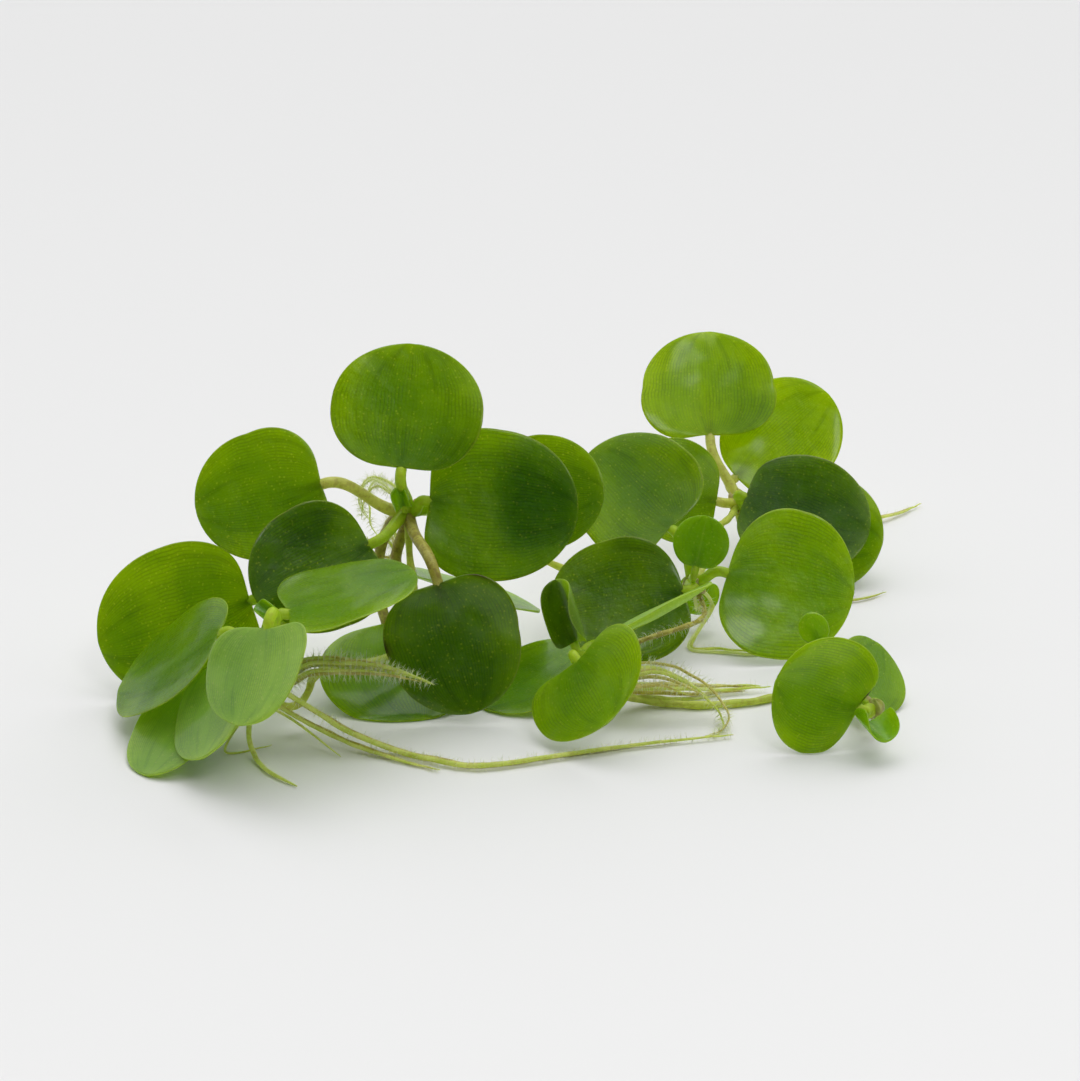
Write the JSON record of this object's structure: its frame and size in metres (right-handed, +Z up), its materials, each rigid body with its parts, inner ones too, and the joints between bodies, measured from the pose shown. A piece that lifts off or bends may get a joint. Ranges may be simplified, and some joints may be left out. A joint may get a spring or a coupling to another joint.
{
  "type": "amazon frogbit plant",
  "caption": "Small floating water plant lying out of water: rosettes of round glossy green leaves joined by runners, with trailing pale roots.",
  "frame": {"origin": "on the resting surface, below the middle of the colony's bounding box", "axes": "+X to the right along the colony's longest side, +Y away from the front, +Z up"},
  "size_m": [0.1386, 0.1248, 0.0504],
  "materials": {
    "crown_a": "satin pale olive stem tissue",
    "crown_b": "satin pale olive stem tissue",
    "crown_c": "satin pale olive stem tissue",
    "crown_d": "satin pale olive stem tissue",
    "crown_e": "satin pale olive stem tissue",
    "crown_f": "satin pale olive stem tissue",
    "leaf_a1": "smooth waxy living leaf, green",
    "leaf_a2": "smooth waxy living leaf, green",
    "leaf_a3": "smooth waxy living leaf, green",
    "leaf_a4": "smooth waxy living leaf, green",
    "leaf_a5": "smooth waxy living leaf, green",
    "leaf_a6": "smooth waxy living leaf, green",
    "leaf_a7": "smooth waxy living leaf, green",
    "leaf_b1": "smooth waxy living leaf, green",
    "leaf_b2": "smooth waxy living leaf, green",
    "leaf_b3": "smooth waxy living leaf, green",
    "leaf_b4": "smooth waxy living leaf, green",
    "leaf_b5": "smooth waxy living leaf, green",
    "leaf_b6": "smooth waxy living leaf, green",
    "leaf_b7": "smooth waxy living leaf, green",
    "leaf_b8": "smooth waxy living leaf, green",
    "leaf_b9": "smooth waxy living leaf, green",
    "leaf_c1": "smooth waxy living leaf, green",
    "leaf_c2": "smooth waxy living leaf, green",
    "leaf_c3": "smooth waxy living leaf, green",
    "leaf_c4": "smooth waxy living leaf, green",
    "leaf_c5": "smooth waxy living leaf, green",
    "leaf_d1": "smooth waxy living leaf, green",
    "leaf_d2": "smooth waxy living leaf, green",
    "leaf_d3": "smooth waxy living leaf, green",
    "leaf_d4": "smooth waxy living leaf, green",
    "leaf_e1": "smooth waxy living leaf, green",
    "leaf_e2": "smooth waxy living leaf, green",
    "leaf_e3": "smooth waxy living leaf, green",
    "leaf_e4": "smooth waxy living leaf, green",
    "leaf_e5": "smooth waxy living leaf, green",
    "leaf_f1": "smooth waxy living leaf, green",
    "leaf_f2": "smooth waxy living leaf, green",
    "leaf_f3": "smooth waxy living leaf, green",
    "leaf_f4": "smooth waxy living leaf, green",
    "root_a1": "matt pale olive root tissue",
    "root_a2": "matt pale olive root tissue",
    "root_a3": "matt pale olive root tissue",
    "root_a4": "matt pale olive root tissue",
    "root_a5": "matt pale olive root tissue",
    "root_a6": "matt pale olive root tissue",
    "root_b1": "matt pale olive root tissue",
    "root_b2": "matt pale olive root tissue",
    "root_c1": "matt pale olive root tissue",
    "root_c2": "matt pale olive root tissue",
    "root_d1": "matt pale olive root tissue",
    "root_d2": "matt pale olive root tissue",
    "root_d3": "matt pale olive root tissue",
    "root_e1": "matt pale olive root tissue",
    "root_e2": "matt pale olive root tissue",
    "runner_ab": "satin yellow-green stem tissue",
    "runner_bc": "satin yellow-green stem tissue",
    "runner_cd": "satin yellow-green stem tissue",
    "runner_ce": "satin yellow-green stem tissue",
    "runner_df": "satin yellow-green stem tissue"
  },
  "bodies": {
    "root": {"crown_a": "crown_a", "crown_b": "crown_b", "crown_c": "crown_c", "crown_d": "crown_d", "crown_e": "crown_e", "crown_f": "crown_f", "leaf_a1": "leaf_a1", "leaf_a2": "leaf_a2", "leaf_a3": "leaf_a3", "leaf_a4": "leaf_a4", "leaf_a5": "leaf_a5", "leaf_a6": "leaf_a6", "leaf_a7": "leaf_a7", "leaf_b1": "leaf_b1", "leaf_b2": "leaf_b2", "leaf_b3": "leaf_b3", "leaf_b4": "leaf_b4", "leaf_b5": "leaf_b5", "leaf_b6": "leaf_b6", "leaf_b7": "leaf_b7", "leaf_b8": "leaf_b8", "leaf_b9": "leaf_b9", "leaf_c1": "leaf_c1", "leaf_c2": "leaf_c2", "leaf_c3": "leaf_c3", "leaf_c4": "leaf_c4", "leaf_c5": "leaf_c5", "leaf_d1": "leaf_d1", "leaf_d2": "leaf_d2", "leaf_d3": "leaf_d3", "leaf_d4": "leaf_d4", "leaf_e1": "leaf_e1", "leaf_e2": "leaf_e2", "leaf_e3": "leaf_e3", "leaf_e4": "leaf_e4", "leaf_e5": "leaf_e5", "leaf_f1": "leaf_f1", "leaf_f2": "leaf_f2", "leaf_f3": "leaf_f3", "leaf_f4": "leaf_f4", "root_a1": "root_a1", "root_a2": "root_a2", "root_a3": "root_a3", "root_a4": "root_a4", "root_a5": "root_a5", "root_a6": "root_a6", "root_b1": "root_b1", "root_b2": "root_b2", "root_c1": "root_c1", "root_c2": "root_c2", "root_d1": "root_d1", "root_d2": "root_d2", "root_d3": "root_d3", "root_e1": "root_e1", "root_e2": "root_e2", "runner_ab": "runner_ab", "runner_bc": "runner_bc", "runner_cd": "runner_cd", "runner_ce": "runner_ce", "runner_df": "runner_df"}
  },
  "joints": []
}
